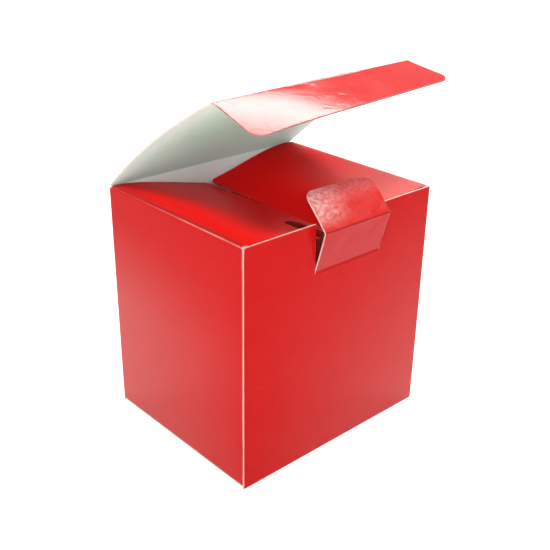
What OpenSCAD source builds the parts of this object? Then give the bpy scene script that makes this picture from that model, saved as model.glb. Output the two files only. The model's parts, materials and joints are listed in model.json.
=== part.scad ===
// Gift carton for a cup, folded from one sheet of glossy board.
// The lid stands open, its tuck flap is bent forward, and the lock tab in the front wall is pulled out.
// The origin is the middle of the base, on the surface that the carton stands on.
// X runs along the front wall, Y from front to back, Z up.

/* [Box] */
// Width outside, along the front wall
box_w = 114; // [112:1:200]
// Depth outside, from front to back
box_d = 96; // [80:1:160]
// Height outside, up to the raw top edge of the front wall
box_h = 116; // [60:1:200]
// Thickness of the board
board_t = 0.7; // [0.5:0.1:1]
// Outer radius of the folded upright corners
corner_r = 1.1; // [1:0.1:2]
// Width of the flap of the left wall that is glued behind the front wall
glue_w = 17; // [10:1:24]
// How far the ends of the glued flap slant in from its fold to its free edge
glue_slant = 3; // [1:0.5:8]
// Air between two layers of board that lie on each other without glue
layer_gap = 0.3; // [0.2:0.1:0.6]

/* [Lid] */
// Angle of the open lid above its closed place
lid_open = 35; // [25:1:60]
// Rise of the bowed lid over a straight line from its hinge to its front crease
lid_bow = 3; // [1:0.5:6]
// How far the lid stays back from each side of the box
lid_side = 0.3; // [0.2:0.1:1]
// Play that lets the tuck flap go in behind the front wall
lid_play = 1; // [0.4:0.1:2]
// Air between a panel and the crease line of its neighbour
hinge_gap = 0.25; // [0.2:0.05:0.4]

/* [Tuck flap] */
// Length of the tuck flap from the lid's front crease to its free edge
tuck_l = 25.5; // [15:0.5:32]
// Fold at the lid's front crease, 0 where the flap is in line with the lid
tuck_fold = 40; // [0:1:80]
// How far the tuck flap is narrower than the lid on each side
tuck_side = 0.5; // [0.4:0.1:2]
// Radius of its two free corners
tuck_r = 6; // [2:0.5:12]

/* [Lock tab] */
// Width of the lock tab
tab_w = 40; // [25:1:50]
// Place of the tab's middle, to the right of the middle of the front wall
tab_x = 2.7; // [-8:0.1:8]
// Length of the tab's lower panel, from the crease in the front wall to the tab's own crease
tab_base_l = 19.8; // [12:0.2:26]
// Distance of the tab's own crease below the rim when the tab is shut
tab_drop = 2.2; // [1:0.1:4]
// Lean of the lower panel out of the front wall
tab_lean = 16; // [0:1:40]
// Length of the tab's tip, measured along the bent board
tab_tip_l = 20.5; // [16:0.5:26]
// Fold of the tip towards the box, 0 where it is in line with the lower panel
tab_fold = 61; // [30:1:80]
// Length of the tip that curls over
tab_curl_l = 8; // [5:0.5:10]
// How far the end of the tip has curled over
tab_curl = 30; // [10:1:50]
// Radius of the tip's free corners
tab_r = 7; // [3:0.5:9]
// Air between the tab and the front wall on each side
cut_gap = 0.4; // [0.3:0.1:1]
// Air between the tab's sides and the ends of the slit in the lid's crease
slit_clear = 1.2; // [0.8:0.1:3]

/* [Dust flaps] */
// Length of each dust flap from the side wall
dust_l = 56.6; // [40:0.2:57]
// Slope of the left dust flap, down into the box
dust_left = 11; // [8:1:20]
// Slope of the right dust flap, down into the box
dust_right = 10; // [8:1:20]
// Length of the slant at the root of the back edge, which clears the lid's hinge
dust_slant = 6; // [5:0.5:12]
// Radius of the free back corner
dust_r = 3; // [1:0.5:6]
// Width of the notch in the front edge
notch_w = 10; // [6:0.5:14]
// Depth of the left flap's notch, from the front edge
notch_left_l = 25.5; // [12:0.5:30]
// Depth of the right flap's notch, from the front edge
notch_right_l = 16; // [12:0.5:30]
// Width of the strip left between the notch and the free edge
notch_strip = 2.2; // [2:0.1:8]

/* [Bottom] */
// Length of the bottom's tuck flap, which stands inside the front wall
bottom_tuck_l = 16; // [10:1:25]
// Length of each inner bottom flap from the side wall
bottom_flap_l = 42; // [20:1:54]
// How far the bottom panel stays back from each side of the box
bottom_side = 0.6; // [0.4:0.1:1.5]

/* [Hidden] */
$fn = 48;

face_red = [0.83, 0.06, 0.06];
lid_red = [0.9, 0.12, 0.1];
tab_red = [0.78, 0.16, 0.17];
arc_fn = 720;
cut = 1;

half_w = box_w / 2;
half_d = box_d / 2;
half_t = board_t / 2;
inner_r = corner_r - board_t;
hinge_cut = half_t + hinge_gap;

// Top of the walls: the back wall ends just below the lid's hinge line
rim_mid = box_h - half_t;
back_top = rim_mid - hinge_cut;
corner_relief = 3 * board_t + layer_gap;

// Lid: an arc over its chord
lid_y = half_d - half_t;
lid_w = box_w - 2 * lid_side;
lid_chord = box_d - 2 * board_t - lid_play;
lid_r = lid_chord * lid_chord / (8 * lid_bow) + lid_bow / 2;
lid_half = asin(lid_chord / (2 * lid_r));
lid_trim = asin(hinge_cut / lid_r);
tuck_w = lid_w - 2 * tuck_side;
slit_w = tab_w + 2 * slit_clear;

// Lock tab: its window in the front wall and the two creases
tab_crease_z = box_h - tab_drop - tab_base_l;
window_w = tab_w + 2 * cut_gap;
tab_straight = tab_tip_l - tab_curl_l;
tab_curl_r = tab_curl_l / (tab_curl * PI / 180);
tab_reach = tab_straight + tab_curl_r * sin(tab_curl);

// Dust flaps: outline in the flap's own plane, from the side wall's top crease
dust_front = -half_d + 2 * board_t + layer_gap;
dust_root = half_d - corner_relief;
dust_back = half_d - board_t - 2 * layer_gap;

// Bottom: panel, its tuck flap and the two inner flaps above it
bottom_tuck_y = -half_d + 2 * board_t + layer_gap + half_t;
inner_flap_z = board_t + layer_gap + half_t;
inner_front = bottom_tuck_y + half_t + 2 * layer_gap;
inner_back = half_d - board_t - 2 * layer_gap;

// A sheet bent round the X axis: it starts above the axis and runs towards +Y
module bent_sheet(width, radius, angle) {
    rotate([0, -90, 0])
        rotate_extrude(angle = angle, $fn = arc_fn)
            translate([radius - half_t, -width / 2])
                square([board_t, width]);
}

// A round fold edge along X, in the middle of the board
module fold_x(length) {
    rotate([0, 90, 0])
        cylinder(h = length, r = half_t, center = true);
}

// A round fold edge along Y, from one Y to another
module fold_y(from, to) {
    translate([0, from, 0])
        rotate([-90, 0, 0])
            cylinder(h = to - from, r = half_t);
}

// A rectangle from Y = 0 to Y = length, centred in X, with two round corners at the far end
module flap_outline(width, length, radius) {
    translate([-width / 2, 0])
        square([width, length - radius]);
    translate([-width / 2 + radius, 0])
        square([width - 2 * radius, length]);
    for (side = [-1, 1])
        translate([side * (width / 2 - radius), length - radius])
            circle(r = radius);
}

// Outer outline of the walls: three folded corners, and the square glued one at the front left
module wall_outline(inset, radius) {
    w = box_w - 2 * inset;
    d = box_d - 2 * inset;
    difference() {
        translate([-w / 2, -d / 2])
            square([w, d]);
        for (corner = [[1, -1], [1, 1], [-1, 1]])
            translate([corner[0] * w / 2, corner[1] * d / 2])
                square(2 * radius, center = true);
    }
    for (corner = [[1, -1], [1, 1], [-1, 1]])
        translate([corner[0] * (w / 2 - radius), corner[1] * (d / 2 - radius)])
            circle(r = radius);
}

// The four walls, each trimmed to the height where its own crease or raw edge is
module walls() {
    difference() {
        linear_extrude(height = box_h)
            difference() {
                wall_outline(0, corner_r);
                wall_outline(board_t, inner_r);
            }
        back_trim();
        side_trim(-1);
        side_trim(1);
        bottom_trim(-1);
        bottom_trim(1);
        seam_groove();
    }
}

// Takes the top off the back wall and its corners, below the lid's hinge and clear of the dust flaps' folds
module back_trim() {
    translate([-half_w - cut, dust_root + layer_gap, back_top])
        cube([box_w + 2 * cut, corner_relief + cut, box_h]);
}

// Takes a side wall down to the middle of its top fold
module side_trim(side) {
    translate([side * (half_w - half_t) - board_t, -half_d + board_t, rim_mid])
        cube([2 * board_t, box_d, box_h]);
}

// Takes the foot off a side wall, down to the fold of the inner bottom flap
module bottom_trim(side) {
    translate([side * (half_w - half_t) - board_t, -half_d + board_t, -cut])
        cube([2 * board_t, box_d - 2 * board_t, cut + inner_flap_z]);
}

// The fine groove beside the front wall's raw end, where the glue flap turns in behind it
module seam_groove() {
    translate([-half_w - half_t, -half_d + board_t, -cut])
        cube([board_t - half_t / 2, half_t, box_h + 2 * cut]);
}

// The opening that the lock tab is cut from
module tab_window() {
    translate([tab_x - window_w / 2, -half_d - cut, tab_crease_z - hinge_cut])
        cube([window_w, board_t + 2 * cut, box_h]);
}

// The flap of the left wall behind the front wall, with its ends cut back
module glue_flap() {
    foot = 2 * board_t + 2 * layer_gap;
    head = box_h - board_t;
    translate([-half_w + half_t, -half_d + 2 * board_t, 0])
        rotate([90, 0, 0])
            linear_extrude(height = board_t)
                polygon([[0, foot], [glue_w, foot + glue_slant], [glue_w, head - glue_slant], [0, head]]);
}

// Outline of a dust flap on the left, with its notch
module dust_outline(notch_l) {
    difference() {
        union() {
            polygon([[0, dust_front], [dust_l, dust_front], [dust_l, dust_back - dust_r],
                [dust_l - dust_r, dust_back], [dust_slant, dust_back], [0, dust_root]]);
            translate([dust_l - dust_r, dust_back - dust_r])
                circle(r = dust_r);
        }
        translate([dust_l - notch_strip - notch_w, dust_front - cut])
            square([notch_w, notch_l - notch_w / 2 + cut]);
        translate([dust_l - notch_strip - notch_w / 2, dust_front + notch_l - notch_w / 2])
            circle(r = notch_w / 2);
    }
}

// A dust flap on the left wall's top crease; the right one is its mirror image
module dust_flap(slope, notch_l) {
    translate([-half_w + half_t, 0, rim_mid])
        rotate([0, slope, 0]) {
            translate([0, 0, -half_t])
                linear_extrude(height = board_t)
                    dust_outline(notch_l);
            fold_y(dust_front, dust_root);
        }
}

// An inner bottom flap, folded in from the left wall's foot
module inner_bottom_flap() {
    translate([-half_w + half_t, inner_front, inner_flap_z - half_t])
        cube([bottom_flap_l, inner_back - inner_front, board_t]);
    translate([-half_w + half_t, 0, inner_flap_z])
        fold_y(-half_d + board_t, half_d - corner_r);
}

// The bottom panel, folded from the back wall and tucked up inside the front wall
module bottom_panel() {
    panel_w = box_w - 2 * bottom_side;
    tuck_in_w = box_w - 2 * board_t - 2 * bottom_side;
    translate([-panel_w / 2, bottom_tuck_y, 0])
        cube([panel_w, half_d - half_t - bottom_tuck_y, board_t]);
    translate([-tuck_in_w / 2, bottom_tuck_y - half_t, half_t])
        cube([tuck_in_w, board_t, bottom_tuck_l - half_t]);
    translate([0, bottom_tuck_y, half_t])
        fold_x(tuck_in_w);
}

// The box itself: walls, glue flap, bottom and the two dust flaps, all one folded sheet
module carton() {
    color(face_red) {
        difference() {
            walls();
            tab_window();
        }
        glue_flap();
        bottom_panel();
        inner_bottom_flap();
        mirror([1, 0, 0])
            inner_bottom_flap();
        dust_flap(dust_left, notch_left_l);
        mirror([1, 0, 0])
            dust_flap(dust_right, notch_right_l);
    }
}

// Moves its children to the lid's hinge line; the lid runs towards -Y from there
module at_lid() {
    translate([0, lid_y, rim_mid])
        rotate([-lid_open, 0, 0])
            children();
}

// Moves its children to the lid's front crease; the tuck flap runs towards -Y from there
module at_tuck() {
    at_lid()
        translate([0, -lid_chord, 0])
            rotate([lid_half + tuck_fold, 0, 0])
                children();
}

// The bowed lid, with the round fold that turns on the back wall's top edge
module lid() {
    color(lid_red)
        at_lid() {
            translate([0, -lid_chord / 2, lid_bow - lid_r])
                rotate([lid_half - lid_trim, 0, 0])
                    bent_sheet(lid_w, lid_r, 2 * lid_half - lid_trim);
            fold_x(lid_w);
        }
}

// The tuck flap: its fold is left open over the slit that the lock tab goes down through
module tuck_flap() {
    color(lid_red)
        at_tuck() {
            rotate([0, 0, 180])
                translate([0, 0, -half_t])
                    linear_extrude(height = board_t)
                        difference() {
                            flap_outline(tuck_w, tuck_l, tuck_r);
                            translate([-tab_x - slit_w / 2, -cut])
                                square([slit_w, cut + hinge_cut]);
                        }
            difference() {
                fold_x(tuck_w);
                translate([tab_x, 0, 0])
                    cube([slit_w, 4 * board_t, 4 * board_t], center = true);
            }
        }
}

// Moves its children to the crease in the front wall; the tab's lower panel runs up from there
module at_tab_base() {
    translate([tab_x, -half_d + half_t, tab_crease_z])
        rotate([tab_lean, 0, 0])
            children();
}

// Moves its children to the tab's own crease; the tip runs up from there
module at_tab_tip() {
    at_tab_base()
        translate([0, 0, tab_base_l])
            rotate([-tab_fold, 0, 0])
                children();
}

// The lock tab's lower panel
module lock_tab_base() {
    color(tab_red)
        at_tab_base() {
            translate([-tab_w / 2, -half_t, 0])
                cube([tab_w, board_t, tab_base_l - hinge_cut]);
            fold_x(tab_w);
        }
}

// The lock tab's tip: flat at first, then curled over towards the box, with round corners
module lock_tab_tip() {
    color(tab_red)
        at_tab_tip() {
            intersection() {
                union() {
                    translate([-tab_w / 2, -half_t, 0])
                        cube([tab_w, board_t, tab_straight]);
                    translate([0, tab_curl_r, tab_straight])
                        rotate([90, 0, 0])
                            bent_sheet(tab_w, tab_curl_r, tab_curl);
                }
                translate([0, tab_tip_l, 0])
                    rotate([90, 0, 0])
                        linear_extrude(height = 2 * tab_tip_l)
                            flap_outline(tab_w, tab_reach, tab_r);
            }
            fold_x(tab_w);
        }
}

carton();
lid();
tuck_flap();
lock_tab_base();
lock_tab_tip();
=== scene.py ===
"""A folding carton for a cup: its board, its finish and a small studio, built round its CAD frame.

Each panel is cut flat from the die line, folded along its creases and given the thickness of the board.
The die line is in millimetres: U runs round the four walls from the glue flap, and V up the walls and over the
lid. The named lengths are in millimetres too, and the properties, the studio and the frame in metres.
"""

import json
import math

import bpy
import numpy as np
from mathutils import Matrix, Vector, noise
from mathutils.geometry import delaunay_2d_cdt


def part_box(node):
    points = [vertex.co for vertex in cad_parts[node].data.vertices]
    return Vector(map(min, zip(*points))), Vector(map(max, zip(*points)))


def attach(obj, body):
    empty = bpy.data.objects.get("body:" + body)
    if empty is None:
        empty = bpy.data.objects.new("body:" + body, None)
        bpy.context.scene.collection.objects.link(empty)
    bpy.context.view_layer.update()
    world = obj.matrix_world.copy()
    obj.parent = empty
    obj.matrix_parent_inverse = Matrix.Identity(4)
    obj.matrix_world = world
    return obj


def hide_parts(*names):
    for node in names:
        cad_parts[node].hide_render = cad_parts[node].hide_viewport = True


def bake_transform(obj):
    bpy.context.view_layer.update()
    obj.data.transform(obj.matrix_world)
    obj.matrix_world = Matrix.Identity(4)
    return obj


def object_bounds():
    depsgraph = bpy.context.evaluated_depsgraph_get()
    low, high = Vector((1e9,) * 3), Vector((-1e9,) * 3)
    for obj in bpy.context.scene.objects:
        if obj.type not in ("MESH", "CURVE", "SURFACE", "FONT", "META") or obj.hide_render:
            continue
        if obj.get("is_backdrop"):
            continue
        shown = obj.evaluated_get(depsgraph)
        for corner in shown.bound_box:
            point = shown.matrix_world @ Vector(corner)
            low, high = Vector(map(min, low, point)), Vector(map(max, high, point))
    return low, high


bl_info = {
    "name": "Folding Carton for a Cup",
    "version": (1, 0, 0),
    "blender": (4, 5, 0),
    "location": "View3D > Sidebar > Carton",
    "description": "Builds the board, finish and studio of a red folding carton round its CAD frame",
    "category": "Object",
}

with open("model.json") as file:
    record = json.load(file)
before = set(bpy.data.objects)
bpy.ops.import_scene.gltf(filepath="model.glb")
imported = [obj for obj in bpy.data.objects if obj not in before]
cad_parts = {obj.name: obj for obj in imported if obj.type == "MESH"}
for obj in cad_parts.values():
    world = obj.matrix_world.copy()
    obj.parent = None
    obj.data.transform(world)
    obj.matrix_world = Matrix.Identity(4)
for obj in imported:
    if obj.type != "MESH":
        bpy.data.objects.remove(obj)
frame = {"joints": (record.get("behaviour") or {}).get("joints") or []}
CAD_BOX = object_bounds()

MM = 0.001
CORNER_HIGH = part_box("carton")[1] / MM
HINGE = {joint["name"]: Vector(joint["pos_m"]) / MM for joint in frame["joints"]}

# Walls: where the middle of the board stands, and where each wall starts along U
BOARD = 0.7
WALL_X = CORNER_HIGH.x - BOARD / 2
WALL_Y = CORNER_HIGH.y - BOARD / 2
RIM = CORNER_HIGH.z
GLUE_FLAP = 17.0
GLUE_Y = -WALL_Y + BOARD
U_SEAM = GLUE_FLAP
U_BACK_LEFT = U_SEAM + WALL_Y - GLUE_Y
U_BACK_RIGHT = U_BACK_LEFT + 2 * WALL_X
U_FRONT_RIGHT = U_BACK_RIGHT + 2 * WALL_Y
U_END = U_FRONT_RIGHT + WALL_X + CORNER_HIGH.x
U_BACK_MIDDLE = U_BACK_LEFT + WALL_X
U_FRONT_MIDDLE = U_FRONT_RIGHT + WALL_X

# Creases along V
V_BASE = 0.35
V_INNER_FOOT = 1.35
V_TOP = HINGE["lid_hinge"].z
HINGE_GAP = 0.6
V_BACK_TOP = V_TOP - HINGE_GAP
ROOT = 1.0

# Dust flaps
DUST_LENGTH = 56.6
DUST_FRONT = 1.7
DUST_ROOT_END = 2.4
DUST_BACK = 1.3
DUST_CORNER = 3.0
NOTCH_WIDTH = 10.0
NOTCH_DEPTH_LEFT = 25.5
NOTCH_DEPTH_RIGHT = 16.0
NOTCH_STRIP = 2.2

# Bottom
BASE_ROOT = 55.7
BASE_HALF = 56.4
BASE_DEPTH = 93.6
BASE_TUCK = 15.65
INNER_FLAP = 42.0
FREE_CORNER = 3.0
TUCK_IN_CORNER = 4.0

# Lid and tuck flap
LID_HALF = 56.7
LID_CHORD = (HINGE["tuck_flap_fold"] - HINGE["lid_hinge"]).length
LID_SLOPE = math.atan2(
    HINGE["tuck_flap_fold"].z - HINGE["lid_hinge"].z,
    HINGE["lid_hinge"].y - HINGE["tuck_flap_fold"].y,
)
V_CREASE = V_TOP + LID_CHORD
TUCK_HALF = 56.2
TUCK_LENGTH = 25.5
TUCK_CORNER = 6.0
SLIT_LEFT = -18.5
SLIT_RIGHT = 23.9

# Lock tab
TAB_MIDDLE = HINGE["lock_tab_hinge"].x
TAB_HALF = 20.0
TAB_GAP = 0.4
U_TAB = U_FRONT_MIDDLE - TAB_MIDDLE - TAB_HALF
V_TAB = HINGE["lock_tab_hinge"].z
TAB_BASE = (HINGE["lock_tab_fold"] - HINGE["lock_tab_hinge"]).length
TAB_LEAN = math.atan2(
    HINGE["lock_tab_hinge"].y - HINGE["lock_tab_fold"].y,
    HINGE["lock_tab_fold"].z - HINGE["lock_tab_hinge"].z,
)
TAB_FLAT = 12.5
TAB_CURL_LENGTH = 8.0
TAB_CORNER = 7.0


def length_value(name, description, default, **limits):
    return bpy.props.FloatProperty(name=name, description=description, default=default, precision=5,
                                   subtype="DISTANCE", unit="LENGTH", **limits)


def angle_value(name, description, degrees):
    return bpy.props.FloatProperty(name=name, description=description, default=math.radians(degrees),
                                   subtype="ANGLE", unit="ROTATION")


def colour_value(name, description, default):
    return bpy.props.FloatVectorProperty(name=name, description=description, default=default, size=3,
                                         min=0.0, max=1.0, subtype="COLOR")


def power_value(name, description, default):
    return bpy.props.FloatProperty(name=name, description=f"{description}, in watts", default=default,
                                   min=0.0)


class CartonBoard(bpy.types.PropertyGroup):
    """Sizes of the board and of its folds"""

    thickness: length_value("Board Thickness", "Thickness of the board", BOARD * MM, min=0.0004, max=0.0012)
    cut_edge: length_value(
        "Cut Edge", "Width of the bruised bevel that the die leaves along a cut",
        0.00009, min=0.00002, max=0.0002)
    corner_fold: length_value(
        "Corner Fold", "Radius of the upright corners, at the middle of the board",
        0.00075, min=0.0004, max=0.002)
    crease_fold: length_value(
        "Crease Fold", "Radius of the creases of the flaps, at the middle of the board",
        0.0005, min=0.0003, max=0.001)
    wall_swell: length_value(
        "Wall Swell", "How far the middle of a wall stands out of its plane", 0.00035, min=0.0, max=0.001)
    ripple: length_value(
        "Ripple", "Height of the slow waves that board takes up from damp air", 0.00008, min=0.0, max=0.0004)
    lattice: length_value(
        "Lattice", "Distance between the points of a wall's mesh", 0.003, min=0.0015, max=0.006)


class CartonFlaps(bpy.types.PropertyGroup):
    """Set of the dust flaps, the lid and the tuck flap"""

    dust_left: angle_value("Left Dust Flap", "Slope of the left dust flap, down into the box", 11)
    dust_right: angle_value("Right Dust Flap", "Slope of the right dust flap, down into the box", 10)
    dust_left_bow: length_value("Left Bow", "Rise of the left dust flap over a flat one", 0.0013)
    dust_right_bow: length_value("Right Bow", "Rise of the right dust flap over a flat one", 0.0017)
    dust_right_sag: length_value(
        "Right Sag", "How far the right dust flap's tip has sunk to the left one's", 0.0010)
    lid_bow: length_value("Lid Bow", "Rise of the bowed lid over a straight line between its creases", 0.003)
    lid_twist: length_value(
        "Lid Twist", "How far the right end of the lid's front crease is above its middle", 0.00095)
    tuck_slope: angle_value("Tuck Slope", "Slope of the tuck flap, down from the lid's front crease", 12.34)
    tuck_lift: length_value("Tuck Lift", "Rise of the tuck flap's right free corner out of its plane", 0.003)
    tuck_droop: length_value(
        "Tuck Droop", "Drop of the tuck flap's left free corner out of its plane", 0.0024)


class CartonTab(bpy.types.PropertyGroup):
    """Set of the lock tab"""

    fold: angle_value("Tip Fold", "Fold of the tip towards the box", 61)
    curl: angle_value("Tip Curl", "How far the end of the tip has curled over", 30)
    crumple: length_value("Crumple", "Depth of the dents that fingers have left in the tab", 0.00022)


class CartonFinish(bpy.types.PropertyGroup):
    """Colours of the board, and how worn it is"""

    box_red: colour_value("Box Red", "Colour of the film on the walls and dust flaps", (0.53, 0.003, 0.003))
    lid_red: colour_value("Lid Red", "Colour of the film on the lid and tuck flap", (0.57, 0.006, 0.002))
    tab_red: colour_value("Tab Red", "Colour of the film on the lock tab's tip", (0.61, 0.008, 0.006))
    # tinted grey-green as painted shade, in place of plain white board
    inside: colour_value("Inside", "Colour of the uncoated inner face of the flaps", (0.74, 0.87, 0.75))
    inner_wall: colour_value("Inner Wall", "Colour of the uncoated inner face of the box", (0.92, 0.87, 0.91))
    # the tab base's pinker, duller red is partly handling and partly painted reflection of the pale floor
    tab_base_red: colour_value(
        "Tab Base Red", "Colour of the film on the lock tab's lower panel, dulled by handling",
        (0.545, 0.028, 0.034))
    core: colour_value("Core", "Colour of the raw cut edges", (0.80, 0.66, 0.63))
    wear: bpy.props.FloatProperty(
        name="Wear", description="How much of the film is rubbed off along creases and cuts",
        default=0.5, min=0.0, max=1.0, subtype="FACTOR")


class CartonStudio(bpy.types.PropertyGroup):
    """Camera, floor and lamps"""

    camera_place: bpy.props.FloatVectorProperty(
        name="Camera", description="Place of the camera",
        default=(-0.25203, -0.27898, 0.24732), size=3, precision=4, subtype="TRANSLATION", unit="LENGTH")
    camera_view: bpy.props.FloatVectorProperty(
        name="View Direction", description="Direction that the camera looks in",
        default=(0.6110, 0.6671, -0.4261), size=3, precision=4, subtype="DIRECTION")
    camera_roll: angle_value("Roll", "Turn of the camera about its own axis", 0.89)
    camera_lens: bpy.props.FloatProperty(
        name="Focal Length", description="Focal length, in millimetres on a 36 mm sensor",
        default=56.09, min=10.0, max=200.0)
    floor_colour: colour_value("Floor", "Colour of the floor and backdrop", (0.86, 0.86, 0.86))
    fill: bpy.props.FloatProperty(
        name="Fill", description="Strength of the light from all around",
        default=0.1, min=0.0, max=2.0)
    key_lamp: power_value("Key Lamp", "Power of the high soft lamp behind on the right", 0.9)
    high_lamp: power_value(
        "High Lamp", "Power of the lamp high in front on the left, which slants in under the lid", 4.3)
    left_lamp: power_value("Left Lamp", "Power of the large soft lamp in front on the left", 3.4)
    side_lamp: power_value("Side Lamp", "Power of the soft lamp on the left", 2.4)
    low_lamp: power_value("Low Lamp", "Power of the low lamp in front, which reaches in under the lid", 2.1)
    right_lamp: power_value("Right Lamp", "Power of the soft lamp in front on the right", 0.9)
    gloss_lamp: power_value(
        "Gloss Lamp", "Power of the main lamp, whose reflection lies on the tuck flap", 6.3)


# ---------------------------------------------------------------- folding

def turned(vectors, angles):
    """2D vectors turned by angles, in radians."""
    c, s = np.cos(angles), np.sin(angles)
    return np.stack([vectors[..., 0] * c - vectors[..., 1] * s,
                     vectors[..., 0] * s + vectors[..., 1] * c], axis=-1)


def left_of(headings):
    return np.stack([-headings[..., 1], headings[..., 0]], axis=-1)


class FoldLine:
    """The middle of the board seen from the side: straight runs joined by round folds."""

    def __init__(self, points, radii, start=0.0):
        self.points = np.array(points, float)
        runs = np.diff(self.points, axis=0)
        lengths = np.linalg.norm(runs, axis=1)
        self.headings = runs / lengths[:, None]
        self.marks = start + np.concatenate([[0.0], np.cumsum(lengths)])
        self.folds = []
        for i, radius in enumerate(radii, 1):
            before, after = self.headings[i - 1], self.headings[i]
            turn = math.atan2(before[0] * after[1] - before[1] * after[0], before @ after)
            self.folds.append((i, radius * math.tan(abs(turn) / 2), turn, radius))

    def at(self, distances, rounded=True):
        """Places and headings at these distances along the line, as arrays."""
        run = np.clip(np.searchsorted(self.marks, distances, side="right") - 1, 0, len(self.headings) - 1)
        places = self.points[run] + self.headings[run] * (distances - self.marks[run])[:, None]
        headings = self.headings[run].copy()
        if rounded:
            for i, reach, turn, radius in self.folds:
                inside = np.abs(distances - self.marks[i]) < reach
                before = self.headings[i - 1]
                side = left_of(before) * math.copysign(1.0, turn)
                centre = self.points[i] - before * reach + side * radius
                angle = turn * (distances[inside] - self.marks[i] + reach) / (2 * reach)
                places[inside] = centre + turned(-side * radius, angle)
                headings[inside] = turned(before, angle)
        return places, headings

    def rows(self, steps=6):
        """Distances that a mesh needs across each fold to turn smoothly."""
        return [self.marks[i] + reach * (2 * k / steps - 1)
                for i, reach, turn, radius in self.folds for k in range(steps + 1)]


def slow_wave(u, v, length, seed):
    """A smooth, seeded wave between about -1 and 1 at each point of the die line."""
    return np.array([noise.noise(Vector((a / length, b / length, seed))) for a, b in zip(u, v)])


# ---------------------------------------------------------------- cutting

CUT, JOINED = "cut", "joined"
JOINT_HAIR = 0.0004
SHORTEST_EDGE = 0.04
CLOSEST_TO_RIM = 0.12
CLOSEST_LINES = 0.03


def arc(u, v, radius, start, end, steps=8):
    """Corners of a round cut about (u, v), from one angle to another, in degrees."""
    return [(u + radius * math.cos(math.radians(start + (end - start) * k / steps)),
             v + radius * math.sin(math.radians(start + (end - start) * k / steps)))
            for k in range(steps + 1)]


def crossed(outline, columns, rows):
    """The outline with a point wherever a column or a row of the lattice crosses it."""
    result = []
    for (u0, v0, kind), (u1, v1, _) in zip(outline, outline[1:] + outline[:1]):
        shares = {0.0}
        for low, high, lines in ((u0, u1, columns), (v0, v1, rows)):
            if abs(high - low) > 1e-6:
                shares.update((line - low) / (high - low) for line in lines)
        length = math.hypot(u1 - u0, v1 - v0)
        kept = [0.0]
        for share in sorted(s for s in shares if 0 < s < 1):
            if min(share - kept[-1], 1 - share) * length > SHORTEST_EDGE:
                kept.append(share)
        result += [(u0 + (u1 - u0) * s, v0 + (v1 - v0) * s, kind) for s in kept]
    return result


def drawn_in(points, kinds, bevel):
    """The outline's points moved inwards, by the bevel from a cut and by a hair from a joint."""
    steps = np.roll(points, -1, axis=0) - points
    inward = left_of(steps / np.linalg.norm(steps, axis=1)[:, None])
    depth = np.where([kind == CUT for kind in kinds], bevel, JOINT_HAIR)
    moved = points.copy()
    for i in range(len(points)):
        a, b = inward[i - 1], inward[i]
        if abs(a[0] * b[1] - a[1] * b[0]) < 0.02:
            moved[i] += b * max(depth[i - 1], depth[i])
        else:
            moved[i] += np.linalg.solve(np.array([a, b]), [depth[i - 1], depth[i]])
    return moved


def inside_of(outline, points):
    """Which points lie inside a closed outline."""
    inside = np.zeros(len(points), bool)
    for a, b in zip(outline, np.roll(outline, -1, axis=0)):
        if a[1] != b[1]:
            across = (a[1] > points[:, 1]) != (b[1] > points[:, 1])
            inside ^= across & (points[:, 0] < (b[0] - a[0]) * (points[:, 1] - a[1]) / (b[1] - a[1]) + a[0])
    return inside


def distance_to(starts, ends, points):
    """Distance from each point to the nearest of these segments."""
    nearest = np.full(len(points), 1e3)
    for a, b in zip(starts, ends):
        along = b - a
        share = np.clip(((points - a) @ along) / max(along @ along, 1e-12), 0, 1)
        nearest = np.minimum(nearest, np.linalg.norm(points - a - share[:, None] * along, axis=1))
    return nearest


class Blank:
    """A panel cut flat: a mesh of its face and the ring of points round it.

    The outline's points each start a cut edge, or an edge joined to the next panel where the point says so.
    """

    def __init__(self, outline, columns, rows, board, creases):
        bevel = board.cut_edge / MM
        outline = crossed([(*point, CUT)[:3] for point in outline], columns, rows)
        self.rim = np.array([point[:2] for point in outline])
        kinds = [point[2] for point in outline]
        inner = drawn_in(self.rim, kinds, bevel)
        lattice = np.array([(u, v) for u in columns for v in rows])
        ends = np.roll(self.rim, -1, axis=0)
        lattice = lattice[inside_of(inner, lattice)]
        lattice = lattice[distance_to(self.rim, ends, lattice) > CLOSEST_TO_RIM + bevel]
        given = [Vector(p) for p in inner] + [Vector(p) for p in lattice]
        count = len(inner)
        edges = [(i, (i + 1) % count) for i in range(count)]
        flat, _, faces, sources, _, _ = delaunay_2d_cdt(given, edges, [list(range(count))], 1, 1e-7)
        self.points = np.array([tuple(p) for p in flat])
        self.faces = np.array(faces)
        index = {source: i for i, found in enumerate(sources) for source in found}
        self.ring = [index[i] for i in range(count)]
        self.joined = np.array([kind == JOINED for kind in kinds])
        cuts = [i for i, kind in enumerate(kinds) if kind == CUT]
        everything = np.vstack([self.points, self.rim])
        self.cut_distance = distance_to(self.rim[cuts], ends[cuts], everything)
        starts = np.array([c[:2] for c in creases], float).reshape(-1, 2)
        stops = np.array([c[2:] for c in creases], float).reshape(-1, 2)
        self.crease_distance = distance_to(starts, stops, everything)


def lines(*parts):
    """Lattice lines from runs (first, last, spacing) and single values, in order and not too close."""
    found = []
    for part in parts:
        if isinstance(part, tuple):
            count = max(1, round(abs(part[1] - part[0]) / part[2]))
            found += list(np.linspace(part[0], part[1], count + 1))
        else:
            found += list(part)
    kept = []
    for value in sorted(found):
        if not kept or value - kept[-1] > CLOSEST_LINES:
            kept.append(value)
    return kept


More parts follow.
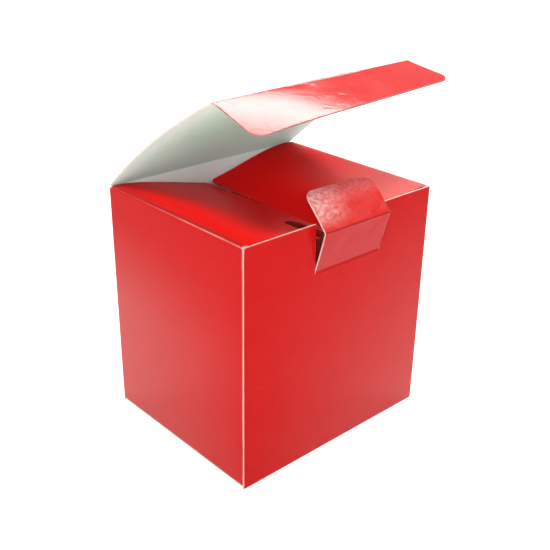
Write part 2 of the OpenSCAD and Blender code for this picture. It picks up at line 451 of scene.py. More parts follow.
def folded_sheet(name, blank, place, board, materials, masks, other=None):
    """The blank folded by place(), which gives each point's middle and its outward side, as a sheet of board.

    Masks are named functions of the points on the die line, kept on the mesh for the finishes. Outer faces
    where the function other() is over a half take the fourth material.
    """
    thickness, bevel = board.thickness / MM, board.cut_edge / MM
    middle, outward = place(blank.points)
    corners = middle[blank.faces]
    face_normals = np.cross(corners[:, 1] - corners[:, 0], corners[:, 2] - corners[:, 0])
    facing = np.einsum("ij,ij->i", face_normals, outward[blank.faces[:, 0]])
    faces = blank.faces if np.sum(facing) > 0 else blank.faces[:, ::-1]
    flipped = faces is not blank.faces
    face_normals = -face_normals if flipped else face_normals
    normals = np.zeros_like(middle)
    for k in range(3):
        np.add.at(normals, faces[:, k], face_normals)
    normals /= np.linalg.norm(normals, axis=1)[:, None]

    ring = np.array(blank.ring)
    rim_middle, _ = place(blank.rim)
    half, lip = thickness / 2, thickness / 2 - bevel
    count, around = len(middle), len(ring)
    points = np.vstack([middle + normals * half, middle - normals * half,
                        rim_middle + normals[ring] * lip, rim_middle - normals[ring] * lip])
    outer, inner = ring, ring + count
    rim_out, rim_in = 2 * count + np.arange(around), 2 * count + around + np.arange(around)
    polygons = [tuple(f) for f in faces] + [tuple(f[::-1] + count) for f in faces]
    kinds = [0] * len(faces) + [1] * len(faces)
    if other:
        kinds[:len(faces)] = np.where(other(blank.points)[faces].mean(axis=1) > 0.5, 3, 0).tolist()
    for upper, lower, face in ((outer, rim_out, 0), (rim_out, rim_in, 0), (rim_in, inner, 1)):
        band = np.stack([lower, np.roll(lower, -1), np.roll(upper, -1), upper], axis=1)
        band = band[:, ::-1] if flipped else band
        polygons += [tuple(q) for q in band]
        kinds += np.where(blank.joined, face, 2).tolist()

    mesh = bpy.data.meshes.new(name)
    mesh.from_pydata((points * MM).tolist(), [], [tuple(int(i) for i in p) for p in polygons])
    mesh.polygons.foreach_set("material_index", kinds)
    mesh.shade_smooth()
    for material in materials:
        mesh.materials.append(material)

    flat = np.vstack([blank.points, blank.points, blank.rim, blank.rim])
    loops = np.zeros(len(mesh.loops), np.int32)
    mesh.loops.foreach_get("vertex_index", loops)
    layer = mesh.uv_layers.new(name="die_line")
    layer.data.foreach_set("uv", (flat[loops] / 100).astype(np.float32).ravel())

    sizes = (count, count, around, around)
    twice = np.concatenate([np.arange(count)] * 2 + [np.arange(count, count + around)] * 2)
    for label, values in (
        ("cut_mm", blank.cut_distance[twice]),
        ("crease_mm", blank.crease_distance[twice]),
        ("ply_mm", np.repeat([half, -half, lip, -lip], sizes)),
        *((label, mask(flat)) for label, mask in masks.items()),
    ):
        attribute = mesh.attributes.new(label, "FLOAT", "POINT")
        attribute.data.foreach_set("value", np.clip(values, -20, 20).astype(np.float32))

    ends = np.zeros(len(mesh.edges) * 2, np.int32)
    mesh.edges.foreach_get("vertices", ends)
    level = np.repeat([0, 3, 1, 2], sizes)
    on_ring = np.zeros(len(points), bool)
    on_ring[np.concatenate([outer, inner, rim_out, rim_in])] = True
    pairs = ends.reshape(-1, 2)
    loops = [zip(side.tolist(), np.roll(side, -1).tolist()) for side in (outer, inner)]
    loop_edges = {tuple(sorted(pair)) for loop in loops for pair in loop}
    along = (level[pairs[:, 0]] == level[pairs[:, 1]]) & on_ring[pairs].all(axis=1)
    rim_rows = along & (level[pairs[:, 0]] % 3 > 0)
    sharp = rim_rows | np.array([tuple(sorted(pair)) in loop_edges for pair in pairs.tolist()])
    marks = mesh.attributes.new("sharp_edge", "BOOLEAN", "EDGE")
    marks.data.foreach_set("value", sharp)
    mesh.validate()
    piece = bpy.data.objects.new(name, mesh)
    bpy.context.scene.collection.objects.link(piece)
    return piece


# ---------------------------------------------------------------- where each panel's board lies

def round_the_walls(board):
    """The line of the board round the four walls, seen from above, from the glue flap's free edge."""
    points = [(-WALL_X + GLUE_FLAP, GLUE_Y), (-WALL_X, GLUE_Y), (-WALL_X, WALL_Y),
              (WALL_X, WALL_Y), (WALL_X, -WALL_Y), (-CORNER_HIGH.x, -WALL_Y)]
    corner = board.corner_fold / MM
    return FoldLine(points, [0.6, corner, corner, corner])


def up_a_side_wall(board, slope):
    """From the inner bottom flap's free edge, up the side wall and along its dust flap."""
    crease = board.crease_fold / MM
    tip = (DUST_LENGTH * math.cos(slope), V_TOP - DUST_LENGTH * math.sin(slope))
    points = [(INNER_FLAP, V_INNER_FOOT), (0, V_INNER_FOOT), (0, V_TOP), tip]
    return FoldLine(points, [0.35, crease], V_INNER_FOOT - INNER_FLAP)


def up_the_back_wall():
    """From the free edge of the bottom's tuck flap, back under the box and up the back wall."""
    points = [(BASE_DEPTH, V_BASE + BASE_TUCK), (BASE_DEPTH, V_BASE), (0, V_BASE), (0, V_TOP)]
    return FoldLine(points, [0.35, 0.35], V_BASE - BASE_DEPTH - BASE_TUCK)


def over_the_lid(board, slope):
    """From the top of the back wall over the lid's chord and down the tuck flap, as (y, z)."""
    hinge, fold = HINGE["lid_hinge"], HINGE["tuck_flap_fold"]
    end = (fold.y - TUCK_LENGTH * math.cos(slope), fold.z - TUCK_LENGTH * math.sin(slope))
    points = [(WALL_Y, V_TOP - 4), (hinge.y, hinge.z), (fold.y, fold.z), end]
    crease = board.crease_fold / MM
    return FoldLine(points, [crease, crease], V_TOP - 4)


def up_the_tab(board, tab):
    """From the front wall up the lock tab, as (distance out of the wall, z)."""
    base, tip = TAB_LEAN, TAB_LEAN - tab.fold
    end = tip - tab.curl
    radius = TAB_CURL_LENGTH / tab.curl
    reach = radius * math.tan(tab.curl / 2)
    points = [(0, V_TAB - 4), (0, V_TAB)]
    for length, angle in ((TAB_BASE, base), (TAB_FLAT + reach, tip), (reach, end)):
        points.append((points[-1][0] + length * math.sin(angle), points[-1][1] + length * math.cos(angle)))
    crease = board.crease_fold / MM
    return FoldLine(points, [crease, crease, radius], V_TAB - 4)


def hump(share):
    """0 at both ends of a panel and 1 in the middle."""
    return np.sin(np.pi * np.clip(share, 0, 1))


def wall_swell(u, v, board):
    """How far the board of a wall stands out of its plane."""
    along = np.select(
        [u < U_SEAM, u < U_BACK_LEFT, u < U_BACK_RIGHT, u < U_FRONT_RIGHT],
        [(U_SEAM - u) / (2 * WALL_X),
         (u - U_SEAM) / (U_BACK_LEFT - U_SEAM),
         (u - U_BACK_LEFT) / (U_BACK_RIGHT - U_BACK_LEFT),
         (u - U_BACK_RIGHT) / (U_FRONT_RIGHT - U_BACK_RIGHT)],
        (u - U_FRONT_RIGHT) / (2 * WALL_X))
    calm = hump(along) * hump(v / V_TOP)
    # the glue flap lies on the front wall, so it takes the waves of the wall it is glued to
    wave_u = np.where(u < U_SEAM, U_FRONT_MIDDLE + WALL_X - (U_SEAM - u), u)
    wave = slow_wave(wave_u, v, 38, 1.7)
    return calm * board.wall_swell / MM + np.sqrt(np.clip(calm, 0, 1)) * wave * board.ripple / MM


def eased(share):
    """A share between 0 and 1 with soft ends."""
    share = np.clip(share, 0, 1)
    return share * share * (3 - 2 * share)


def wall_haze(points):
    """Painted pale sheen on the walls and right dust flap: more so towards the foot, least at the front left
    corner.
    """
    u, v = points[:, 0], points[:, 1]
    low = 1 - v / V_TOP
    side = eased((low - 0.08) / 0.5) * (0.15 + 1.4 * np.clip((u - U_SEAM) / 96, 0, 1))
    front = np.clip(low, 0, 1) * 1.3 * np.clip((U_END - u) / 114, 0, 1) ** 1.2
    near_crease = eased((0.8 - (v - V_TOP) / DUST_LENGTH) / 0.5)
    right_flap = 2.1 * near_crease * eased(((u - U_BACK_RIGHT) / 95 - 0.2) / 0.75)
    rest = np.where((v > V_TOP + 1) & (u > U_BACK_RIGHT), right_flap, front)
    return np.where(u < U_BACK_LEFT, side, rest)


def flap_glow(points):
    """Painted light on the dust flaps' red, less rubbed there: most where the left one meets its wall and the
    front.
    """
    u, v = points[:, 0], points[:, 1]
    out = np.clip((v - V_TOP) / DUST_LENGTH, 0, 1)
    front = np.clip(1 - (u - U_SEAM) / 96, 0, 1)
    crease = eased((0.6 - out) / 0.5) * eased((front - 0.02) / 0.45)
    left = 0.38 + 0.75 * np.maximum(crease, eased((front - 0.6) / 0.4) * 0.8)
    right = 0.12 + 0.34 * eased((out - 0.2) / 0.5)
    return on_dust_flap(points) * np.where(u < U_BACK_LEFT, left, right)


def spared(points):
    """Where the crease on the left is hardly rubbed: towards the back."""
    return 0.85 * eased((points[:, 0] - U_SEAM - 25) / 50) * (points[:, 0] < U_BACK_LEFT)


def box_rim(points):
    """Red on the box's cut edges, part smeared film, part painted shade: most on the dust flaps and by the
    lock tab.
    """
    u, v = points[:, 0], points[:, 1]
    beside = (np.abs(u - U_TAB) < 1.5) & (v < V_TAB + 12)
    return np.maximum(on_dust_flap(points), np.where(beside, 0.75, np.where(u > U_END - 1.5, 0.3, 0.1)))


def under_flaps(points):
    """1 where a dark red shade is painted on the board's inner face, under the dust flaps."""
    return on_dust_flap(points) * eased((points[:, 1] - V_TOP - 2) / 6)


def lid_pale(points):
    """Where light is painted on the lid's inner face, making it paler: beside its hinge and its left edge."""
    u, v = points[:, 0], points[:, 1]
    inside = np.maximum(eased((V_TOP + 45 - v) / 40), 0.8 * eased((U_BACK_MIDDLE - 30 - u) / 26))
    return np.where(v < V_TOP, 0.5, inside)


def tip_haze(points):
    """Scuffs and a painted highlight on the lock tab's tip: most at its left side and over the curled end."""
    u, v = points[:, 0], points[:, 1]
    left = eased((u - U_FRONT_MIDDLE + TAB_MIDDLE + 4) / 22)
    up = np.clip((v - V_TAB - TAB_BASE) / 20, 0, 1)
    return 4.3 * left * eased(up / 0.45) + 1.0 * eased((up - 0.45) / 0.3) * (1 - left)


def tip_dulled(points):
    """1 below the tip's crease, where the film is the lower panel's, and nearly so over the curled end."""
    up = points[:, 1] - V_TAB - TAB_BASE
    return np.maximum(eased(-up / 0.3 + 0.5), 0.85 * eased((up - 12.5) / 3.5))


def base_dulled(points):
    """1 above the lock tab's lower crease."""
    return eased((points[:, 1] - V_TAB) / 0.3 + 0.5)


def tab_rim(points):
    """How much red is smeared over the lock tab's cut edges."""
    return np.full(len(points), 0.25)


def on_dust_flap(points):
    """1 on the dust flaps, whose cut edges carry red smear and painted shade."""
    u, v = points[:, 0], points[:, 1]
    return ((v > V_TOP + 2) & ((u < U_BACK_LEFT) | (u > U_BACK_RIGHT))).astype(float)


def on_tuck_rim(points):
    """Red on the tuck flap's cut edges, part smear, part painted shade: all round it, but not in the torn
    slit.
    """
    return np.where(points[:, 1] > V_CREASE + 1.5, 0.75, 0.1)


def carton_place(board, flaps):
    perimeter = round_the_walls(board)
    left = up_a_side_wall(board, flaps.dust_left)
    right = up_a_side_wall(board, flaps.dust_right)
    back = up_the_back_wall()

    def place(points):
        u, v = points[:, 0], points[:, 1]
        xy, heading = perimeter.at(u)
        outward = left_of(heading)
        sharp_xy, sharp_heading = perimeter.at(u, rounded=False)
        sharp_outward = left_of(sharp_heading)
        spots = np.column_stack([xy, v])
        sides = np.column_stack([outward, np.zeros(len(u))])
        on_wall = np.ones(len(u), bool)

        def lay(chosen, line):
            """Puts the chosen points on a line that leaves the walls' sharp outline."""
            (inward, z), (run, rise) = (a.T for a in line.at(v[chosen]))
            spots[chosen, :2] = sharp_xy[chosen] - sharp_outward[chosen] * inward[:, None]
            spots[chosen, 2] = z
            sides[chosen, :2] = sharp_outward[chosen] * rise[:, None]
            sides[chosen, 2] = run
            on_wall[chosen] &= np.abs(inward) < 0.02

        for line, first, last, root, top, bow, sag in (
            (left, U_SEAM, U_BACK_LEFT, (U_SEAM + 1.9, U_BACK_LEFT - 1.1),
             (U_SEAM + 0.6, U_BACK_LEFT - 2.0), flaps.dust_left_bow, 0.0),
            (right, U_BACK_RIGHT, U_FRONT_RIGHT, (U_BACK_RIGHT + 1.1, U_FRONT_RIGHT - 2.6),
             (U_BACK_RIGHT + 2.0, U_FRONT_RIGHT - 1.3), flaps.dust_right_bow, flaps.dust_right_sag),
        ):
            here = (u > first) & (u < last)
            low = here & (v < 3) & (u > root[0]) & (u < root[1])
            high = here & (v > V_TOP - 3) & (((u > top[0]) & (u < top[1])) | (v > V_TOP + 0.01))
            lay(low, line)
            lay(high, line)
            share = np.clip((v - V_TOP) / DUST_LENGTH, 0, 1)
            rise = bow / MM * 6.75 * share * (1 - share) ** 2
            ripple = slow_wave(u, v, 30, 4.1) * 0.25 * share
            # the front of the tip has sunk further than its back corner
            sunk = sag / MM * share ** 3 * (0.35 + 0.65 * np.clip((u - first) / (last - first) * 1.6, 0, 1))
            spots[high] += sides[high] * (rise + ripple - sunk)[high, None]
        low = (u > U_BACK_LEFT) & (u < U_BACK_RIGHT) & (v < 3)
        low &= (v < -0.01) | (np.abs(u - U_BACK_MIDDLE) < BASE_ROOT + 0.01)
        lay(low, back)
        spots[on_wall] += sides[on_wall] * wall_swell(u, v, board)[on_wall, None]
        return spots, sides

    return place


def lid_place(board, flaps):
    line = over_the_lid(board, flaps.tuck_slope)
    chord_side = np.array([0.0, math.sin(LID_SLOPE), math.cos(LID_SLOPE)])

    def place(points):
        u, v = points[:, 0], points[:, 1]
        (y, z), (run, rise) = (a.T for a in line.at(v))
        x = u - U_BACK_MIDDLE
        spots = np.column_stack([x, y, z])
        sides = np.column_stack([np.zeros(len(u)), rise, -run])
        across = x / LID_HALF
        share = np.clip((v - V_TOP) / LID_CHORD, 0, 1)
        spots += chord_side * (flaps.lid_bow / MM * 4 * share * (1 - share))[:, None]
        crease_lift = 0.35 + flaps.lid_twist / MM * across
        reach = np.clip((v - V_CREASE) / TUCK_LENGTH, 0, 1)
        up = flaps.tuck_lift / MM
        down = flaps.tuck_droop / MM
        end_lift = (up - down) / 2 + (up + down) / 2 * across - 1.0 * np.clip(-across, 0, 1) ** 3
        spots[:, 2] += crease_lift * share ** 1.5 + (end_lift - crease_lift) * reach ** 1.3
        # the board has sprung up where the slit weakens the crease
        slit = hump((x - SLIT_LEFT) / (SLIT_RIGHT - SLIT_LEFT)) ** 0.6 * np.exp(-np.abs(v - V_CREASE) / 5)
        slit *= (x > SLIT_LEFT) & (x < SLIT_RIGHT)
        bulge = 0.6 + 0.45 * np.exp(-((x - 14) / 3.5) ** 2) + 0.35 * slow_wave(u, v * 0, 5.5, 3.7)
        spots[:, 2] += slit * np.where(v < V_CREASE, bulge, 0.2 * slow_wave(u, v * 0, 4.5, 8.1))
        # and the flap is kinked on both sides of it
        kinked = hump((x - SLIT_LEFT + 9) / (SLIT_RIGHT - SLIT_LEFT + 16))
        kinked *= np.exp(-np.abs(v - V_CREASE - 2) / 8)
        kinks = np.abs(slow_wave(u + 0.8 * v, v, 7, 6.6)) - 0.6 * np.abs(slow_wave(u, v, 4, 2.9))
        spots[:, 2] += 0.35 * kinks * kinked * eased((v - V_CREASE) / 1.5)
        ripple = slow_wave(u, v, 40, 7.3) * board.ripple / MM * 2.5
        spots += sides * (ripple * share * hump((x + LID_HALF) / (2 * LID_HALF)))[:, None]
        return spots, sides

    return place


def tab_place(board, tab):
    line = up_the_tab(board, tab)

    def place(points):
        u, v = points[:, 0], points[:, 1]
        (out, z), (run, rise) = (a.T for a in line.at(v))
        x = U_FRONT_MIDDLE - u
        spots = np.column_stack([x, -WALL_Y - out, z])
        sides = np.column_stack([np.zeros(len(u)), -rise, -run])
        handled = np.clip((v - V_TAB) / 10, 0, 1)
        across = (x - TAB_MIDDLE) / TAB_HALF
        dents = slow_wave(u, v, 7.5, 2.2) + 0.45 * slow_wave(u, v, 3.2, 5.9)
        spots += sides * (dents * handled * tab.crumple / MM)[:, None]
        swell = wall_swell(u, np.minimum(v, V_TAB), board) * np.clip((V_TAB - v) / 2, 0, 1)
        spots += sides * swell[:, None]
        bend = np.clip((v - V_TAB - TAB_BASE) / 20, 0, 1)
        spots += sides * (0.5 * bend * across ** 2)[:, None]
        return spots, sides

    return place


# ---------------------------------------------------------------- die lines

def inner_flap(first, last):
    """An inner bottom flap between two places on the walls' foot, both of its own corners cut off."""
    end = V_INNER_FOOT - INNER_FLAP
    return [(first, V_INNER_FOOT), (first, end + FREE_CORNER), (first + FREE_CORNER, end),
            (last - FREE_CORNER, end), (last, end + FREE_CORNER), (last, V_INNER_FOOT)]


def carton_outline():
    """The walls, glue flap, dust flaps and bottom, counter-clockwise from the glue flap's foot."""
    front_left, front_right = U_TAB + 2 * TAB_HALF, U_TAB
    window_foot = V_TAB - HINGE_GAP
    left_root = (U_SEAM + DUST_FRONT - 1.05, U_BACK_LEFT - DUST_ROOT_END + BOARD / 2)
    right_root = (U_BACK_RIGHT + DUST_ROOT_END - BOARD / 2, U_FRONT_RIGHT - DUST_FRONT + BOARD / 2)
    left_back = U_BACK_LEFT - DUST_BACK + BOARD / 2
    right_back = U_BACK_RIGHT + DUST_BACK - BOARD / 2
    tip = V_TOP + DUST_LENGTH
    left_tip = tip + 1.35
    right_tip = tip + 0.6
    notch_high = tip - NOTCH_STRIP
    notch_low = notch_high - NOTCH_WIDTH
    notch_r = NOTCH_WIDTH / 2
    base = U_BACK_MIDDLE
    front_fold = V_BASE - BASE_DEPTH
    half_bottom = [
        (BASE_ROOT + 0.2, 0.0), (BASE_ROOT, -0.05), (BASE_HALF, -1.6), (BASE_HALF, front_fold + 1.2),
        (BASE_ROOT, front_fold), (BASE_ROOT, front_fold - BASE_TUCK + TUCK_IN_CORNER),
        (BASE_ROOT - TUCK_IN_CORNER, front_fold - BASE_TUCK),
    ]
    cut = [
        (0.0, 5.0), (U_SEAM - 0.6, 2.0), (U_SEAM + 0.6, V_INNER_FOOT),
        *inner_flap(U_SEAM + 1.95, U_BACK_LEFT - 1.15),
        (U_BACK_LEFT - 0.7, V_INNER_FOOT), (U_BACK_LEFT - 0.7, 0.0),
        *((base - u, v) for u, v in half_bottom), *((base + u, v) for u, v in reversed(half_bottom)),
        (U_BACK_RIGHT + 0.7, 0.0), (U_BACK_RIGHT + 0.7, V_INNER_FOOT),
        *inner_flap(U_BACK_RIGHT + 1.15, U_FRONT_RIGHT - 2.65),
        (U_FRONT_RIGHT - 0.7, V_INNER_FOOT), (U_FRONT_RIGHT - 0.7, 0.0),
        (U_END, 0.0), (U_END, RIM), (front_left + TAB_GAP, RIM), (front_left + TAB_GAP, window_foot),
    ]
    cut += [(front_left, window_foot, JOINED), (front_left, V_TAB - ROOT, JOINED),
            (front_right, V_TAB - ROOT, JOINED), (front_right, window_foot),
            (front_right - TAB_GAP, window_foot), (front_right - TAB_GAP, RIM),
            (U_FRONT_RIGHT - 0.25, RIM), (U_FRONT_RIGHT - 0.9, V_TOP), (right_root[1], V_TOP),
            (right_root[1], notch_low)]
    cut += arc(right_root[1] - NOTCH_DEPTH_RIGHT + notch_r, notch_low + notch_r, notch_r, 270, 90, 16)
    cut += [(right_root[1], notch_high), (right_root[1], right_tip), (right_root[1] - 50, right_tip)]
    cut += arc(right_back + DUST_CORNER, tip - DUST_CORNER, DUST_CORNER, 90, 180)
    cut += [(right_back, V_TOP + 6), (right_root[0], V_TOP), (right_root[0] - 0.3, V_TOP),
            (right_root[0] - 0.3, V_BACK_TOP), (base + BASE_ROOT - 0.1, V_BACK_TOP, JOINED),
            (base + BASE_ROOT - 0.1, V_TOP - ROOT, JOINED), (base - BASE_ROOT + 0.1, V_TOP - ROOT, JOINED),
            (base - BASE_ROOT + 0.1, V_BACK_TOP), (left_root[1] + 0.3, V_BACK_TOP),
            (left_root[1] + 0.3, V_TOP), (left_root[1], V_TOP), (left_back, V_TOP + 6)]
    cut += arc(left_back - DUST_CORNER, tip - DUST_CORNER, DUST_CORNER, 0, 90)
    cut += [(left_root[0] + 45, left_tip), (left_root[0], left_tip), (left_root[0], notch_high)]
    cut += arc(left_root[0] + NOTCH_DEPTH_LEFT - notch_r, notch_low + notch_r, notch_r, 90, -90, 16)
    cut += [(left_root[0], notch_low), (left_root[0], V_TOP), (U_SEAM + 0.3, V_TOP),
            (U_SEAM - 0.5, 115.3), (0.0, 112.3)]
    return cut


def on_the_back(outline):
    """An outline counted from the middle of the back wall."""
    return [(point[0] + U_BACK_MIDDLE, *point[1:]) for point in outline]


def lid_outline():
    """The lid, from its root in the back wall to its front crease, with the tongue behind the slit."""
    root, end, tongue = BASE_ROOT - 0.1, V_CREASE - ROOT, V_CREASE - HINGE_GAP
    return on_the_back([
        (-root, V_TOP - ROOT, JOINED), (root, V_TOP - ROOT, JOINED), (root, V_BACK_TOP), (root, V_TOP + 0.2),
        (LID_HALF, V_TOP + 1.2), (LID_HALF, end - 1.5), (TUCK_HALF, end, JOINED), (SLIT_RIGHT, end, JOINED),
        (SLIT_RIGHT, tongue), (SLIT_LEFT, tongue, JOINED), (SLIT_LEFT, end, JOINED),
        (-TUCK_HALF, end), (-LID_HALF, end - 1.5), (-LID_HALF, V_TOP + 1.2), (-root, V_TOP + 0.2),
        (-root, V_BACK_TOP, JOINED),
    ])


def tuck_outline():
    """The tuck flap, with its root in the lid on both sides of the slit."""
    root, tongue = V_CREASE - ROOT, V_CREASE - HINGE_GAP
    edge, tip = V_CREASE + HINGE_GAP, V_CREASE + TUCK_LENGTH
    return on_the_back([
        (-TUCK_HALF, root, JOINED), (SLIT_LEFT, root, JOINED), (SLIT_LEFT, tongue), (SLIT_LEFT, edge),
        (SLIT_RIGHT, edge), (SLIT_RIGHT, tongue, JOINED), (SLIT_RIGHT, root, JOINED), (TUCK_HALF, root),
        *arc(TUCK_HALF - TUCK_CORNER, tip - TUCK_CORNER, TUCK_CORNER, 0, 90, 12),
        *arc(TUCK_CORNER - TUCK_HALF, tip - TUCK_CORNER, TUCK_CORNER, 90, 180, 12),
    ])


def tab_base_outline():
    """The lock tab's lower panel, with its root in the front wall."""
    left, right = U_TAB, U_TAB + 2 * TAB_HALF
    top = V_TAB + TAB_BASE - ROOT
    return [
        (left, V_TAB - ROOT, JOINED), (right, V_TAB - ROOT, JOINED), (right, V_TAB - HINGE_GAP),
        (right, top, JOINED), (left, top), (left, V_TAB - HINGE_GAP, JOINED),
    ]


def tab_tip_outline(tab):
    """The lock tab's tip, with its root in the lower panel."""
    left, right = U_TAB, U_TAB + 2 * TAB_HALF
    root = V_TAB + TAB_BASE - ROOT
    end = V_TAB + TAB_BASE + TAB_FLAT + 2 * TAB_CURL_LENGTH / tab.curl * math.tan(tab.curl / 2)
    outline = [(left, root, JOINED), (right, root)]
    outline += arc(right - TAB_CORNER, end - TAB_CORNER, TAB_CORNER, 0, 90, 12)
    outline += arc(left + TAB_CORNER, end - TAB_CORNER, TAB_CORNER, 90, 180, 12)
    return outline


# ---------------------------------------------------------------- finishes

def add(tree, kind, links=None, **values):
    """A node with its properties set by name, and its inputs linked or set from a dictionary."""
    node = tree.nodes.new(kind)
    for name, value in values.items():
        setattr(node, name, value)
    for name, value in (links or {}).items():
        socket = node.inputs[name]
        if isinstance(value, bpy.types.NodeSocket):
            tree.links.new(value, socket)
        else:
            socket.default_value = value
    return node


def maths(operation):
    """A function that adds a Math node of this operation to the tree of its terms."""
    def join(*terms, clamp=False):
        tree = next(term.id_data for term in terms if isinstance(term, bpy.types.NodeSocket))
        node = add(tree, "ShaderNodeMath", dict(enumerate(terms)), operation=operation, use_clamp=clamp)
        return node.outputs[0]
    return join


plus, minus, times, over = (maths(name) for name in ("ADD", "SUBTRACT", "MULTIPLY", "DIVIDE"))
larger, sine = maths("MAXIMUM"), maths("SINE")


def masked(tree, name):
    """The value that the mesh keeps under a name at each of its points."""
    return add(tree, "ShaderNodeAttribute", attribute_name=name).outputs["Fac"]


def ranged(value, low, high, to_low=0.0, to_high=1.0):
    """A value taken smoothly from one range to another."""
    ends = {"Value": value, "From Min": low, "From Max": high, "To Min": to_low, "To Max": to_high}
    return add(value.id_data, "ShaderNodeMapRange", ends, interpolation_type="SMOOTHSTEP").outputs["Result"]


def mixed(share, first, second):
    """One colour taken to another by a share."""
    node = add(share.id_data, "ShaderNodeMix", data_type="RGBA")
    for name, value in (("Factor_Float", share), ("A_Color", first), ("B_Color", second)):
        socket = next(s for s in node.inputs if s.identifier == name)
        if isinstance(value, bpy.types.NodeSocket):
            share.id_data.links.new(value, socket)
        else:
            socket.default_value = (*value[:3], 1.0)
    return next(s for s in node.outputs if s.identifier == "Result_Color")


def on_the_board(tree, stretch=(1, 1, 1)):
    """A place on the flat die line, in units of 100 mm, with the depth in the board as its third part."""
    flat = add(tree, "ShaderNodeUVMap", uv_map="die_line").outputs["UV"]
    depth = add(tree, "ShaderNodeCombineXYZ", {"Z": times(masked(tree, "ply_mm"), 0.01)}).outputs[0]
    place = add(tree, "ShaderNodeVectorMath", {0: flat, 1: depth}, operation="ADD").outputs[0]
    return add(tree, "ShaderNodeVectorMath", {0: place, 1: stretch}, operation="MULTIPLY").outputs[0]


def grain(tree, scale, detail, roughness=0.5, distortion=0.0, stretch=(1, 1, 1)):
    """Noise on the board, as many times over 100 mm as its scale says."""
    return add(tree, "ShaderNodeTexNoise", {
        "Vector": on_the_board(tree, stretch), "Scale": scale, "Detail": detail, "Roughness": roughness,
        "Distortion": distortion}).outputs["Fac"]


def effect_group(name, **inputs):
    """A new shader group with these inputs and their defaults, as (tree, inputs by name)."""
    tree = bpy.data.node_groups.new(name, "ShaderNodeTree")
    for label, value in inputs.items():
        socket = tree.interface.new_socket(
            name=label.replace("_", " "), in_out="INPUT", socket_type="NodeSocketFloat")
        socket.default_value = value
    return tree, tree.nodes.new("NodeGroupInput").outputs


def finished(tree, **results):
    """The group with its results put out."""
    output = tree.nodes.new("NodeGroupOutput")
    for label, value in results.items():
        label = label.replace("_", " ")
        tree.interface.new_socket(name=label, in_out="OUTPUT", socket_type="NodeSocketFloat")
        tree.links.new(value, output.inputs[label])
    return tree


def paper_fibre():
    """Fibres and clouds of the sheet, for its colour and its relief."""
    tree, given = effect_group("paper_fibre", Size_mm=0.35, Clouds_mm=9.0)
    fibres = grain(tree, over(100.0, given["Size mm"]), 3.0, 0.65, 0.6, (0.35, 1, 1))
    clouds = grain(tree, over(100.0, given["Clouds mm"]), 3.0)
    both = plus(times(fibres, 0.55), times(clouds, 0.45))
    return finished(tree, Shade=ranged(both, 0.3, 0.7), Height=fibres)


def film_skin():
    """The film's slight orange peel and the patches where it is duller."""
    tree, given = effect_group("film_skin", Peel_mm=1.6)
    peel = grain(tree, over(100.0, given["Peel mm"]), 1.5, 0.45)
    fine = grain(tree, 260.0, 2.0, stretch=(0.6, 1, 1))
    patches = grain(tree, 6.0, 4.0, 0.6)
    return finished(tree, Height=plus(peel, times(fine, 0.22)), Dull=ranged(patches, 0.35, 0.7))


def rubbed_edges():
    """Where the film is rubbed through: along the cuts, along the creases and in a few specks."""
    tree, given = effect_group("rubbed_edges", Cut_mm=0.22, Crease_mm=0.4, Crease_Wear=1.0, Wear=0.5)
    ragged = grain(tree, 90.0, 5.0, 0.7)
    patchy = ranged(grain(tree, 8.0, 2.0), 0.35, 0.65, 0.45, 1.0)
    reach = times(times(ragged, 2.0), patchy)
    cut_reach = times(reach, given["Cut mm"])
    at_cut = minus(1.0, over(masked(tree, "cut_mm"), cut_reach), clamp=True)
    line = minus(1.0, over(masked(tree, "crease_mm"), given["Crease mm"]), clamp=True)
    worn_line = times(line, given["Crease Wear"])
    at_crease = times(worn_line, times(reach, 0.8), clamp=True)
    mask = larger(times(at_cut, 1.6, clamp=True), at_crease)
    return finished(tree, Mask=times(mask, given["Wear"], clamp=True), Crease_Line=line)


def handled_board():
    """Fine kinks, mottling and scuffs where fingers have worked the board."""
    tree, given = effect_group("handled_board", Kink_mm=7.0)
    scale = over(100.0, given["Kink mm"])
    kinks = add(tree, "ShaderNodeTexVoronoi", {"Vector": on_the_board(tree, (1, 0.8, 1)), "Scale": scale},
                feature="DISTANCE_TO_EDGE").outputs["Distance"]
    uneven = grain(tree, scale, 3.0)
    mottle = grain(tree, 58.0, 4.0, 0.6, 0.25, (0.8, 1, 1))
    scratches = grain(tree, 120.0, 4.0, 0.75, stretch=(0.12, 1, 1))
    return finished(
        tree,
        Height=times(ranged(kinks, 0.0, 0.12, 1.0, 0.0), ranged(uneven, 0.45, 0.65)),
        Scuff=times(ranged(scratches, 0.62, 0.75), ranged(uneven, 0.4, 0.7)),
        Mottle=ranged(mottle, 0.3, 0.7))


def placed(tree, build, **values):
    """The effect group of a building function, built once, with its own values in this tree."""
    node = tree.nodes.new("ShaderNodeGroup")
    node.node_tree = bpy.data.node_groups.get(build.__name__) or build()
    for label, value in values.items():
        node.inputs[label.replace("_", " ")].default_value = value
    return node.outputs


def new_finish(name, colour):
    material = bpy.data.materials.new(name)
    material.use_nodes = True
    material.diffuse_color = (*colour, 1.0)
    tree = material.node_tree
    tree.nodes.clear()
    shader = tree.nodes.new("ShaderNodeBsdfPrincipled")
    output = tree.nodes.new("ShaderNodeOutputMaterial")
    tree.links.new(shader.outputs["BSDF"], output.inputs["Surface"])
    return material, tree, shader


def surfaced(tree, shader, base, rough, height):
    """Gives the shader its colour, its roughness and its relief, in millimetres."""
    bump = add(tree, "ShaderNodeBump", {"Height": height, "Distance": MM, "Strength": 1.0})
    for name, value in (("Base Color", base), ("Roughness", rough), ("Normal", bump.outputs["Normal"])):
        tree.links.new(value, shader.inputs[name])


def scaled(colour, factor, lift=0.0):
    return tuple(min(1.0, part * factor + lift) for part in colour)


